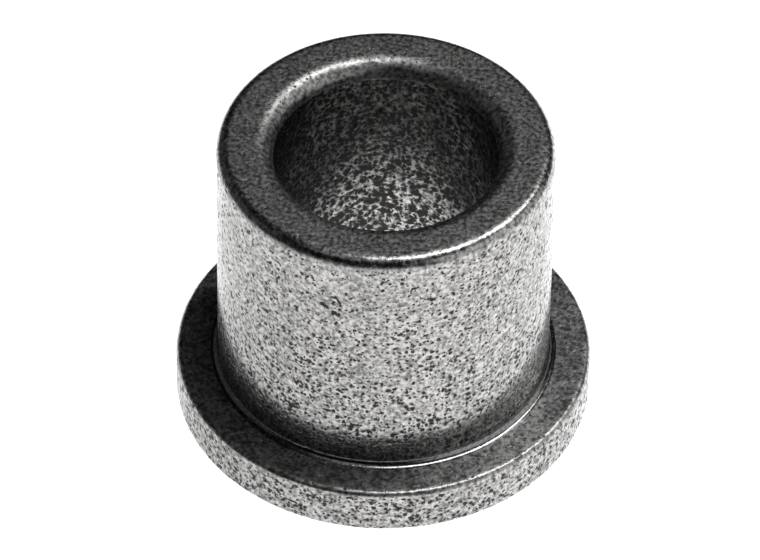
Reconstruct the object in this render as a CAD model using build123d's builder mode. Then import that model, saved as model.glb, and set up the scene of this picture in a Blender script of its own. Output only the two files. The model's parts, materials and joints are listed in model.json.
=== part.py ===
"""Flanged sleeve bushing: one piece of porous bronze, pressed and sintered to shape.

The bore runs along +Z. The origin is the centre of the flange's flat end face, so the
bushing stands on its flange with its nose up. All sizes are in millimetres.
"""

from build123d import *

import os

# Driving dimensions
bore_diameter = 12.70
barrel_diameter = 19.05
flange_diameter = 23.80
overall_length = 19.05
flange_thickness = 3.00

# Edge radii, where the press tools and the sizing pass leave no sharp corner
nose_edge_radius = 0.70
mouth_radius = 1.05
shoulder_edge_radius = 0.35
foot_edge_radius = 0.40
root_radius = 0.40

# Sizes that follow
bore_radius = bore_diameter / 2
barrel_radius = barrel_diameter / 2
flange_radius = flange_diameter / 2

with BuildPart() as flanged_bushing:
    # Half of the section, with sharp corners, turned once round the bore's axis
    with BuildSketch(Plane.XZ):
        with BuildLine():
            Polyline(
                (bore_radius, 0),
                (flange_radius, 0),
                (flange_radius, flange_thickness),
                (barrel_radius, flange_thickness),
                (barrel_radius, overall_length),
                (bore_radius, overall_length),
                close=True,
            )
        make_face()
    revolve(axis=Axis.Z)

    # Every corner is a circle: three levels up the axis, each from the bore outwards
    corners = flanged_bushing.edges().filter_by(GeomType.CIRCLE)
    foot_level, shoulder_level, nose_level = corners.group_by(Axis.Z)
    flange_mouth, foot_edge = foot_level.sort_by(SortBy.RADIUS)
    root, shoulder_edge = shoulder_level.sort_by(SortBy.RADIUS)
    nose_mouth, nose_edge = nose_level.sort_by(SortBy.RADIUS)

    fillet(nose_edge, nose_edge_radius)
    fillet([nose_mouth, flange_mouth], mouth_radius)
    fillet(shoulder_edge, shoulder_edge_radius)
    fillet(foot_edge, foot_edge_radius)
    fillet(root, root_radius)

flanged_bushing.part.label = "flanged_bushing"

os.makedirs("parts", exist_ok=True)
export_step(flanged_bushing.part, "parts/flanged_bushing.step")
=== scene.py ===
"""The looks of the flanged sleeve bushing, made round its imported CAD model.

The bushing is one piece of sintered bronze. Its CAD solid is the smooth envelope that a
shaft and a housing touch. Here the same section is turned again as a fine mesh, with the
open pores of the pressed powder sunk into it, and that mesh stands for the CAD node.
Lengths are in metres, in the CAD model's own frame, unless a comment says millimetres.
"""

import json
import math
import random
from collections import namedtuple

import bpy
from mathutils import Matrix, Vector, kdtree, noise


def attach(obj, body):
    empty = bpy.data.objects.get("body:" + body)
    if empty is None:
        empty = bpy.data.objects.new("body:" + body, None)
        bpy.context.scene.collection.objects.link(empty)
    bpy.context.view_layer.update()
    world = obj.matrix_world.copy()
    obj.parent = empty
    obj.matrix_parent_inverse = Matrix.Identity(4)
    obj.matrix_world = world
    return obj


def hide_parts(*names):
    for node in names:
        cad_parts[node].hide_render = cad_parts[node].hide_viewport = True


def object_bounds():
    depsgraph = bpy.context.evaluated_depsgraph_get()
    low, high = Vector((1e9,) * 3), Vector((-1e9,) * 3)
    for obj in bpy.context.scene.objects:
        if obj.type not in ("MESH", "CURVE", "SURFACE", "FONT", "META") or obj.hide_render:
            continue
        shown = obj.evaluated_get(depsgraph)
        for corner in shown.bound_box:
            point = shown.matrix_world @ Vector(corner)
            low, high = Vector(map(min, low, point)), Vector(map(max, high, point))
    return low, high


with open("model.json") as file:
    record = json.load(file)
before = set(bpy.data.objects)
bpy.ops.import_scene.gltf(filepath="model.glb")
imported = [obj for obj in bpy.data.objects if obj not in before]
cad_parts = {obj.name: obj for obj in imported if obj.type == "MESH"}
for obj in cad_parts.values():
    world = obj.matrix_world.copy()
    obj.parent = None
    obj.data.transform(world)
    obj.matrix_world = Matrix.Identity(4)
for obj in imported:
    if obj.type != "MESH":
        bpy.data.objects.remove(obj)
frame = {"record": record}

CAD_LOW, CAD_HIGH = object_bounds()
MM = 0.001

# The bushing's sizes, from the frame
NODE = "flanged_bushing"
MOUNTS = {mount["name"]: mount for mount in frame["record"]["mounts"]}
BORE_RADIUS = MOUNTS["bore"]["dims"]["r_mm"] * MM
BARREL_RADIUS = MOUNTS["barrel_seat"]["dims"]["r_mm"] * MM
SHOULDER_HEIGHT = MOUNTS["flange_shoulder"]["pos_m"][2]
FLANGE_RADIUS = (CAD_HIGH.x - CAD_LOW.x) / 2

# Its edge radii, as in the CAD model
NOSE_EDGE = 0.70 * MM
MOUTH = 1.05 * MM
SHOULDER_EDGE = 0.35 * MM
FOOT_EDGE = 0.40 * MM
ROOT = 0.40 * MM

# How finely the section is turned: the columns round it, the pitch of the rings along its
# rounded edges, and the fewest rings that an edge gets
COLUMNS = 360
EDGE_PITCH = 0.12 * MM
LEAST_STEPS = 7

# What each surface is like: the mesh's pitch along the section, the pits in a square
# millimetre, their depth as a share of their radius, and the material
Surface = namedtuple("Surface", "pitch pits depth material")
SURFACES = {
    "flange_face": Surface(0.22 * MM, 0.3, 0.20, "punch_face"),
    "rim": Surface(0.16 * MM, 1.2, 0.30, "die_wall"),
    "shoulder": Surface(0.16 * MM, 0.3, 0.20, "punch_face"),
    "root": Surface(EDGE_PITCH, 0.0, 0.0, "tool_root"),
    "barrel": Surface(0.155 * MM, 0.9, 0.20, "die_wall"),
    "nose": Surface(0.16 * MM, 0.3, 0.20, "punch_face"),
    "bore": Surface(0.24 * MM, 1.2, 0.15, "bore_wall"),
}

# The pits are the pores that are sunk into the mesh. These are their radii. They open in
# chains of one of these lengths, a step of so many radii apart, and each is stretched up to
# so many times its width and sunk to at least this share of its full depth.
SMALLEST_PIT, LARGEST_PIT = 0.11 * MM, 0.16 * MM
CHAIN_LENGTHS = (1, 1, 1, 2, 2, 3)
CHAIN_STEP = 1.5
LONGEST_STRETCH = 1.7
SHALLOWEST = 0.5
SEED = 7

# How far a pit's outline wanders, as a share of its radius, and over what length
RAGGEDNESS = 0.5
RAGGED_LENGTH = 0.15 * MM

# How far the surface between the pits sinks, and over what lengths
UNEVENNESS = 0.003 * MM
UNEVEN_LENGTHS = 0.4 * MM, 1.2 * MM

# A corner of the section has its rounding, how worn that is from 0 to 1, the surface of its
# rounded edge, and the surface of the run after it. An arc is that edge's quarter circle:
# its bulge is its radius, positive where the corner stands out. A ring is one point of the
# outline, with its normal as (out, up) and how worn it is.
Corner = namedtuple("Corner", "point rounding worn edge after")
Arc = namedtuple("Arc", "start end centre bulge came")
Ring = namedtuple("Ring", "radius height out up surface pitch wear")


def section_corners():
    """The section's sharp corners, from the bore's mouth at the foot, round by the outside."""
    low, high = CAD_LOW.z, CAD_HIGH.z
    return [
        Corner(Vector((BORE_RADIUS, low)), MOUTH, 0.2, "flange_face", "flange_face"),
        Corner(Vector((FLANGE_RADIUS, low)), FOOT_EDGE, 1.0, "rim", "rim"),
        Corner(Vector((FLANGE_RADIUS, SHOULDER_HEIGHT)), SHOULDER_EDGE, 0.6, "shoulder", "shoulder"),
        Corner(Vector((BARREL_RADIUS, SHOULDER_HEIGHT)), ROOT, 0.0, "root", "barrel"),
        Corner(Vector((BARREL_RADIUS, high)), NOSE_EDGE, 1.0, "nose", "nose"),
        Corner(Vector((BORE_RADIUS, high)), MOUTH, 0.2, "nose", "bore"),
    ]


def rounded(before, corner, after):
    """The quarter circle that rounds a corner."""
    came = (corner.point - before.point).normalized()
    goes = (after.point - corner.point).normalized()
    bulge = math.copysign(corner.rounding, came.cross(goes))
    start, end = corner.point - came * corner.rounding, corner.point + goes * corner.rounding
    return Arc(start, end, start - bulge * Vector((came.y, -came.x)), bulge, came)


def section_rings():
    """The rings that make the section's closed outline when they are turned."""
    corners = section_corners()
    count = len(corners)
    arcs = [rounded(corners[i - 1], corners[i], corners[(i + 1) % count]) for i in range(count)]
    rings = []
    for i, (arc, corner) in enumerate(zip(arcs, corners)):
        quarter = math.copysign(math.pi / 2, arc.bulge)
        steps = max(LEAST_STEPS, round(abs(quarter * arc.bulge) / EDGE_PITCH))
        for step in range(steps):
            turn = Matrix.Rotation(quarter * step / steps, 2)
            normal = turn @ Vector((arc.came.y, -arc.came.x))
            point = arc.centre + arc.bulge * normal
            wear = corner.worn * math.sin(math.pi * step / steps)
            rings.append(Ring(*point, *normal, corner.edge, EDGE_PITCH, wear))

        following = arcs[(i + 1) % count]
        run = following.start - arc.end
        normal = Vector((run.y, -run.x)).normalized()
        pitch = SURFACES[corner.after].pitch
        steps = max(1, round(run.length / pitch))
        for step in range(steps):
            point = arc.end + run * step / steps
            rings.append(Ring(*point, *normal, corner.after, pitch, 0.0))

    # An even count, so that the rings' half steps match where the outline closes
    if len(rings) % 2:
        rings.pop()
    return rings


def turned(rings):
    """The rings' points and normals, with every other ring half a step round for even triangles."""
    points, normals = [], []
    for i, ring in enumerate(rings):
        for column in range(COLUMNS):
            angle = (column + i % 2 / 2) * math.tau / COLUMNS
            around = Vector((math.cos(angle), math.sin(angle), 0))
            points.append(around * ring.radius + Vector((0, 0, ring.height)))
            normals.append(around * ring.out + Vector((0, 0, ring.up)))
    return points, normals


def triangles(rings):
    """The faces between each ring and the next, with the surface that each face lies on."""
    faces, surfaces = [], []
    for i, ring in enumerate(rings):
        here, there = i * COLUMNS, (i + 1) % len(rings) * COLUMNS
        for column in range(COLUMNS):
            following = (column + 1) % COLUMNS
            if i % 2:
                faces.append((here + column, here + following, there + following))
                faces.append((here + column, there + following, there + column))
            else:
                faces.append((here + column, here + following, there + column))
                faces.append((here + following, there + following, there + column))
            surfaces += [ring.surface, ring.surface]
    return faces, surfaces


def pit_centres(rings, points, normals, chance):
    """The pits' places, each with the index of the point that it started from, radius and depth."""
    areas = [math.tau * ring.radius * ring.pitch / MM**2 for ring in rings]
    weights = [area * SURFACES[ring.surface].pits for area, ring in zip(areas, rings)]
    chains = round(sum(weights) * len(CHAIN_LENGTHS) / sum(CHAIN_LENGTHS))
    found = []
    for ring in chance.choices(range(len(rings)), weights, k=chains):
        index = ring * COLUMNS + chance.randrange(COLUMNS)
        place = points[index].copy()
        surface = SURFACES[rings[ring].surface]
        for _ in range(chance.choice(CHAIN_LENGTHS)):
            radius = SMALLEST_PIT + (LARGEST_PIT - SMALLEST_PIT) * chance.random() ** 2
            found.append((index, place.copy(), radius, surface.depth))
            sideways = Vector([chance.gauss(0, 1) for _ in range(3)])
            sideways -= sideways.project(normals[index])
            place += sideways.normalized() * radius * CHAIN_STEP
    return found


def sunk(points, normals, rings):
    """The points with the pits and grain pressed in, and how far into a pit each lies, 0 to 1."""
    chance = random.Random(SEED)
    tree = kdtree.KDTree(len(points))
    for i, point in enumerate(points):
        tree.insert(point, i)
    tree.balance()

    depths, pores = [0.0] * len(points), [0.0] * len(points)
    for index, place, radius, share in pit_centres(rings, points, normals, chance):
        along = Vector([chance.gauss(0, 1) for _ in range(3)]).cross(normals[index]).normalized()
        stretch = chance.uniform(1.0, LONGEST_STRETCH)
        strength = chance.uniform(SHALLOWEST, 1.0)
        for point, i, _ in tree.find_range(place, radius * stretch):
            offset = point - place
            lengthwise = offset.dot(along)
            crosswise = max(0.0, offset.length_squared - lengthwise**2)
            ragged = 1 + RAGGEDNESS * noise.noise(point / RAGGED_LENGTH)
            reach = ((lengthwise / stretch) ** 2 + crosswise) / (radius * ragged) ** 2
            if reach < 1:
                fall = (1 - reach) ** 2 * (1 + 2 * reach)
                depths[i] = max(depths[i], fall * radius * share * strength)
                pores[i] = max(pores[i], fall * strength)

    moved = []
    for i, point in enumerate(points):
        swell = sum(noise.noise(point / length) for length in UNEVEN_LENGTHS)
        moved.append(point - normals[i] * (depths[i] + UNEVENNESS * max(0.0, swell + 1)))
    return moved, pores


def add(tree, kind, inputs=None, **settings):
    """A new node, with its settings and with its inputs set to values or linked to sockets."""
    made = tree.nodes.new(kind)
    for name, value in settings.items():
        setattr(made, name, value)
    for socket, value in (inputs or {}).items():
        if isinstance(value, bpy.types.NodeSocket):
            tree.links.new(value, made.inputs[socket])
        else:
            made.inputs[socket].default_value = value
    return made


def calc(tree, operation, a, b=0.0, c=0.0):
    """What a Math node makes of two values, or of three."""
    return add(tree, "ShaderNodeMath", {0: a, 1: b, 2: c}, operation=operation).outputs[0]


def ramp(tree, value, low, high, to_low=0.0, to_high=1.0):
    """value mapped smoothly from low..high to to_low..to_high, and held at both ends."""
    inputs = {"Value": value, "From Min": low, "From Max": high, "To Min": to_low, "To Max": to_high}
    return add(tree, "ShaderNodeMapRange", inputs, interpolation_type="SMOOTHSTEP").outputs["Result"]


def blank(name):
    """A new material with an empty node tree and a Principled shader wired to its output."""
    material = bpy.data.materials.new(name)
    material.use_nodes = True
    tree = material.node_tree
    tree.nodes.clear()
    shader = tree.nodes.new("ShaderNodeBsdfPrincipled")
    output = tree.nodes.new("ShaderNodeOutputMaterial")
    tree.links.new(shader.outputs["BSDF"], output.inputs["Surface"])
    return material, tree, shader


METAL = (0.345, 0.341, 0.337)
# The pores' colour: partly their own dark, partly painted shade inside the open pores
PORE_SHADE = (0.030, 0.029, 0.028, 1)

# How each kind of surface differs: the metal's tint and roughness, how large its pores and
# how many its cells are beside the layers below, how dark the pores are, in part painted shade,
# how much the grain shades the metal, and how strong the bump is
Finish = namedtuple("Finish", "tint roughness pore_size cells darkness shading bump")
FINISHES = {
    "die_wall": Finish(0.95, 0.17, 1.18, 1.0, 1.00, 0.60, 0.22),
    "bore_wall": Finish(0.74, 0.10, 1.98, 0.84, 1.00, 0.90, 0.05),
    "punch_face": Finish(1.00, 0.43, 0.80, 1.0, 0.68, 0.65, 0.4),
    "tool_root": Finish(0.90, 0.22, 0.50, 1.0, 0.50, 0.30, 0.05),
}

# The layers of open pores: cells in a millimetre, and the largest pore's radius in cells.
# Then the smallest pore beside the largest, where a pore starts to fade and where it ends, in
# its own radii, and the range in millimetres over which the outlines wander.
PORE_LAYERS = ((2.9, 0.44), (4.4, 0.42))
SMALLEST_PORE = 0.3
PORE_EDGE = 0.50, 1.08
WANDER = 0.22

# Where a pit of the mesh starts to darken and where it is dark, from 0 at its edge to 1 at its
# bottom, and how much dust is added to that. That darkening is painted shade down in the open
# pore, besides the pore's own low reflectance
PIT_EDGE = 0.35, 0.75
PIT_DUST = 0.3

# How the pores' size changes, up the height in millimetres, by patches, and with wear
PORES_FROM, PORES_TO = 3, 18
LOW_PORES, HIGH_PORES = 1.12, 0.80
PATCH_PORES = 0.85, 1.15
WORN_PORES = -0.4

# What a worn edge comes to: its roughness, and how much lighter its metal is
WORN_ROUGHNESS = 0.26
WORN_SHINE = 0.20

# The grain's clouds, as features in a millimetre, the levels that most of a cloud lies
# between, and the patches' share of the shading
PATCHES, GRAIN, DUST, WANDERING = 0.8, 4.2, 12, 5
CLOUD_LOW, CLOUD_HIGH = 0.3, 0.7
PATCH_SHARE = 0.2

# What the grain and the pores add to the roughness, and how the bump is made up
GRAIN_ROUGHNESS, PORE_ROUGHNESS = 0.2, 0.3
GRAIN_RELIEF, DUST_RELIEF = 0.8, 0.3
RELIEF = 0.03 * MM


def sintered(name, finish):
    """Pressed and sintered bronze: bright metal between dark open pores, mottled by its grain. The
    pores' dark is partly their own and partly painted shade inside them.
    """
    material, tree, shader = blank(name)
    metres = add(tree, "ShaderNodeTexCoord").outputs["Object"]
    inputs = {0: metres, "Scale": 1 / MM}
    place = add(tree, "ShaderNodeVectorMath", inputs, operation="SCALE").outputs[0]

    def cloud(scale, detail, output="Fac"):
        inputs = {"Vector": place, "Scale": scale, "Detail": detail}
        return add(tree, "ShaderNodeTexNoise", inputs).outputs[output]

    patches, grain, dust = cloud(PATCHES, 2), cloud(GRAIN, 2), cloud(DUST, 2)
    pit = add(tree, "ShaderNodeAttribute", attribute_name="pore").outputs["Fac"]
    wear = add(tree, "ShaderNodeAttribute", attribute_name="wear").outputs["Fac"]

    # Pores are ragged, larger in some patches than others, larger towards the flange, and
    # smaller on a worn edge
    inputs = {0: cloud(WANDERING, 1, "Color"), 1: (0.5, 0.5, 0.5)}
    wander = add(tree, "ShaderNodeVectorMath", inputs, operation="SUBTRACT").outputs[0]
    inputs = {0: wander, 1: (WANDER, WANDER, WANDER), 2: place}
    ragged = add(tree, "ShaderNodeVectorMath", inputs, operation="MULTIPLY_ADD").outputs[0]
    height = add(tree, "ShaderNodeSeparateXYZ", {0: place}).outputs["Z"]
    by_height = ramp(tree, height, PORES_FROM, PORES_TO, LOW_PORES, HIGH_PORES)
    size = calc(tree, "MULTIPLY", by_height, ramp(tree, patches, CLOUD_LOW, CLOUD_HIGH, *PATCH_PORES))
    size = calc(tree, "MULTIPLY", size, calc(tree, "MULTIPLY_ADD", wear, WORN_PORES, 1.0))

    # The pits of the mesh with their edges broken up by dust, then each layer of finer pores
    pore = ramp(tree, calc(tree, "MULTIPLY_ADD", dust, PIT_DUST, pit), *PIT_EDGE)
    for cells, largest in PORE_LAYERS:
        pattern = add(tree, "ShaderNodeTexVoronoi", {"Vector": ragged, "Scale": cells * finish.cells})
        chance = add(tree, "ShaderNodeSeparateColor", {0: pattern.outputs["Color"]}).outputs["Red"]
        reach = calc(tree, "MULTIPLY", size, ramp(tree, chance, 0, 1, SMALLEST_PORE, 1.0))
        away = calc(tree, "DIVIDE", pattern.outputs["Distance"], reach)
        inner, outer = (finish.pore_size * largest * edge for edge in PORE_EDGE)
        pore = calc(tree, "MAXIMUM", pore, ramp(tree, away, inner, outer, 1, 0))

    tone = calc(tree, "MULTIPLY", grain, 1 - PATCH_SHARE)
    tone = calc(tree, "MULTIPLY_ADD", patches, PATCH_SHARE, tone)
    darkest, lightest = ((1 + side * finish.shading) * finish.tint for side in (-1, 1))
    light = ramp(tree, tone, CLOUD_LOW, CLOUD_HIGH, darkest, lightest)
    light = calc(tree, "MULTIPLY", light, calc(tree, "MULTIPLY_ADD", wear, WORN_SHINE, 1.0))
    lit = add(tree, "ShaderNodeVectorMath", {0: METAL, "Scale": light}, operation="SCALE").outputs[0]
    # The pores' dark colour is partly their own and partly painted shade down in the open pores
    inputs = {0: calc(tree, "MULTIPLY", pore, finish.darkness), 6: lit, 7: PORE_SHADE}
    colour = add(tree, "ShaderNodeMix", inputs, data_type="RGBA").outputs[2]
    tree.links.new(colour, shader.inputs["Base Color"])

    smoothest = finish.roughness - GRAIN_ROUGHNESS / 2
    rough = calc(tree, "MULTIPLY_ADD", grain, GRAIN_ROUGHNESS, smoothest)
    rough = calc(tree, "MULTIPLY_ADD", wear, WORN_ROUGHNESS - finish.roughness, rough)
    rough = calc(tree, "MULTIPLY_ADD", pore, PORE_ROUGHNESS, rough)
    tree.links.new(rough, shader.inputs["Roughness"])
    shader.inputs["Metallic"].default_value = 1

    relief = calc(tree, "MULTIPLY", grain, GRAIN_RELIEF)
    relief = calc(tree, "MULTIPLY_ADD", dust, DUST_RELIEF, relief)
    relief = calc(tree, "SUBTRACT", relief, pore)
    inputs = {"Height": relief, "Strength": finish.bump, "Distance": RELIEF}
    bumped = add(tree, "ShaderNodeBump", inputs).outputs["Normal"]
    tree.links.new(bumped, shader.inputs["Normal"])
    return material


def make_bushing():
    """The bushing's mesh, which stands for its CAD node."""
    rings = section_rings()
    points, normals = turned(rings)
    faces, surfaces = triangles(rings)
    points, pores = sunk(points, normals, rings)
    mesh = bpy.data.meshes.new("sintered_bushing")
    mesh.from_pydata(points, [], faces)
    mesh.attributes.new("pore", "FLOAT", "POINT").data.foreach_set("value", pores)
    wear = [ring.wear for ring in rings for _ in range(COLUMNS)]
    mesh.attributes.new("wear", "FLOAT", "POINT").data.foreach_set("value", wear)
    names = list(FINISHES)
    for name in names:
        mesh.materials.append(sintered(name, FINISHES[name]))
    indices = [names.index(SURFACES[surface].material) for surface in surfaces]
    mesh.polygons.foreach_set("material_index", indices)
    mesh.shade_smooth()
    mesh.validate()
    bushing = bpy.data.objects.new("sintered_bushing", mesh)
    bpy.context.scene.collection.objects.link(bushing)
    return bushing


# The floor's painted pool of light, in its glow and in its colour: its edge lies some 50 mm to the
# left of the part, and its gain rises towards the right, a painted brightening on that side
FLOOR_SIDE = 3000 * MM
POOL_CENTRE = 45 * MM, 20 * MM
POOL_FULL, POOL_END = 86 * MM, 108 * MM
GAIN_FROM, GAIN_TO = -20 * MM, 30 * MM
GAIN = 1.0, 1.22
LEAST_GLOW = 0.03

# How the floor glows inside the bore, beside the open floor: most out to this radius, and
# least at the wall. This dimming is a painted shadow of the part on the floor in the bore
BORE_MIDDLE = 0.4 * BORE_RADIUS
MIDDLE_GLOW, WALL_GLOW = 1.4, 0.3

# The floor's colour outside the pool and in it: painted shade outside, painted light in it
UNLIT, PALE = (0.3, 0.3, 0.3, 1), (0.8, 0.8, 0.8, 1)


def make_floor():
    """A wide pale floor glowing like a light table, with a painted pool of light round the part and
    painted shade in the bore.
    """
    half = FLOOR_SIDE / 2
    corners = [(x * half, y * half, CAD_LOW.z) for x, y in ((-1, -1), (1, -1), (1, 1), (-1, 1))]
    mesh = bpy.data.meshes.new("floor")
    mesh.from_pydata(corners, [], [(0, 1, 2, 3)])
    material, tree, shader = blank("pale_floor")
    metres = add(tree, "ShaderNodeTexCoord").outputs["Object"]

    def distance_from(x, y):
        inputs = {0: metres, 1: (x, y, CAD_LOW.z)}
        return add(tree, "ShaderNodeVectorMath", inputs, operation="DISTANCE").outputs["Value"]

    # Painted light: the pool's glow, stronger towards the right
    pool = ramp(tree, distance_from(*POOL_CENTRE), POOL_END, POOL_FULL)
    across = add(tree, "ShaderNodeSeparateXYZ", {0: metres}).outputs["X"]
    lit = calc(tree, "MULTIPLY", pool, ramp(tree, across, GAIN_FROM, GAIN_TO, *GAIN))
    inside = distance_from(0, 0)
    # Painted shade: the glow inside the bore dims towards the bore's wall
    shade = ramp(tree, inside, BORE_MIDDLE, BORE_RADIUS, MIDDLE_GLOW, WALL_GLOW)
    shade = calc(tree, "MAXIMUM", shade, calc(tree, "GREATER_THAN", inside, BARREL_RADIUS))
    glow = calc(tree, "MULTIPLY_ADD", lit, shade, LEAST_GLOW)
    # Painted light and shade in the floor's colour: pale in the pool, grey outside it
    grey = add(tree, "ShaderNodeMix", {0: pool, 6: UNLIT, 7: PALE}, data_type="RGBA").outputs[2]
    tree.links.new(grey, shader.inputs["Base Color"])
    tree.links.new(glow, shader.inputs["Emission Strength"])
    shader.inputs["Emission Color"].default_value = (1, 1, 1, 1)
    shader.inputs["Roughness"].default_value = 0.9
    shader.inputs["Specular IOR Level"].default_value = 0.0
    mesh.materials.append(material)
    floor = bpy.data.objects.new("floor", mesh)
    bpy.context.scene.collection.objects.link(floor)


def towards(azimuth, elevation):
    """The direction at that angle to the right of the front and above the floor, in degrees."""
    around, above = math.radians(azimuth), math.radians(elevation)
    flat = math.cos(above)
    return Vector((math.sin(around) * flat, -math.cos(around) * flat, math.sin(above)))


def make_softbox(name, azimuth, elevation, wide, high, radiance, lean=0):
    """A soft light that faces the bushing from that direction, turned by lean round its own axis.

    Its width and height are the angles that the bushing sees it in. All angles are in degrees.
    """
    distance = 400 * MM
    light = bpy.data.lights.new(name, "AREA")
    light.shape = "RECTANGLE"
    light.size = 2 * distance * math.tan(math.radians(wide / 2))
    light.size_y = 2 * distance * math.tan(math.radians(high / 2))
    light.energy = math.pi * light.size * light.size_y * radiance
    box = bpy.data.objects.new(name, light)
    box.location = (CAD_LOW + CAD_HIGH) / 2 + towards(azimuth, elevation) * distance
    facing = towards(azimuth, elevation).to_track_quat("Z", "Y").to_matrix()
    box.rotation_euler = (facing @ Matrix.Rotation(math.radians(lean), 3, "Z")).to_euler()
    bpy.context.scene.collection.objects.link(box)


def make_lights():
    """A bright leaning strip overhead and three panels, on the right, in front and on the left.

    The strip runs down to the right and rear. The room round them is nearly dark.
    """
    make_softbox("key_strip", azimuth=114, elevation=70, wide=13, high=46, radiance=8.5, lean=18)
    make_softbox("side_panel", azimuth=70, elevation=22, wide=80, high=44, radiance=0.70)
    make_softbox("front_panel", azimuth=-35, elevation=62, wide=22, high=22, radiance=0.35)
    make_softbox("left_panel", azimuth=-105, elevation=22, wide=70, high=30, radiance=0.07)
    world = bpy.data.worlds.new("dim_room")
    world.use_nodes = True
    background = world.node_tree.nodes["Background"]
    background.inputs["Color"].default_value = (1, 1, 1, 1)
    background.inputs["Strength"].default_value = 0.003
    bpy.context.scene.world = world


# The camera looks from the front at this angle above the floor, from this many barrel radii
# away, and is turned by a small roll. The barrel's radius takes up this share of the
# picture's width, and the part stands this far to the right of the middle and above it.
CAMERA_ELEVATION, CAMERA_ROLL = 44.86, 0.74
CAMERA_RADII = 45
RADIUS_SHARE = 0.2202632
ASIDE, ABOVE = 0.247 * MM, 0.892 * MM
SENSOR = 36


def make_camera():
    """A long lens that looks down on the nose, with the part a little above and right of the middle."""
    data = bpy.data.cameras.new("camera")
    data.sensor_width = SENSOR
    data.lens = SENSOR * RADIUS_SHARE * CAMERA_RADII
    data.clip_start, data.clip_end = 0.01, 10
    camera = bpy.data.objects.new("camera", data)
    back = towards(0, CAMERA_ELEVATION)
    aim = back.to_track_quat("Z", "Y").to_matrix()
    middle = (CAD_LOW + CAD_HIGH) / 2
    place = middle + back * CAMERA_RADII * BARREL_RADIUS - aim @ Vector((ASIDE, ABOVE, 0))
    roll = Matrix.Rotation(math.radians(CAMERA_ROLL), 3, "Z")
    camera.matrix_world = Matrix.Translation(place) @ (aim @ roll).to_4x4()
    bpy.context.scene.collection.objects.link(camera)
    bpy.context.scene.camera = camera


bushing = make_bushing()
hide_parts(NODE)
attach(bushing, "root")
make_floor()
make_lights()
make_camera()
bpy.context.scene.view_settings.view_transform = "Standard"
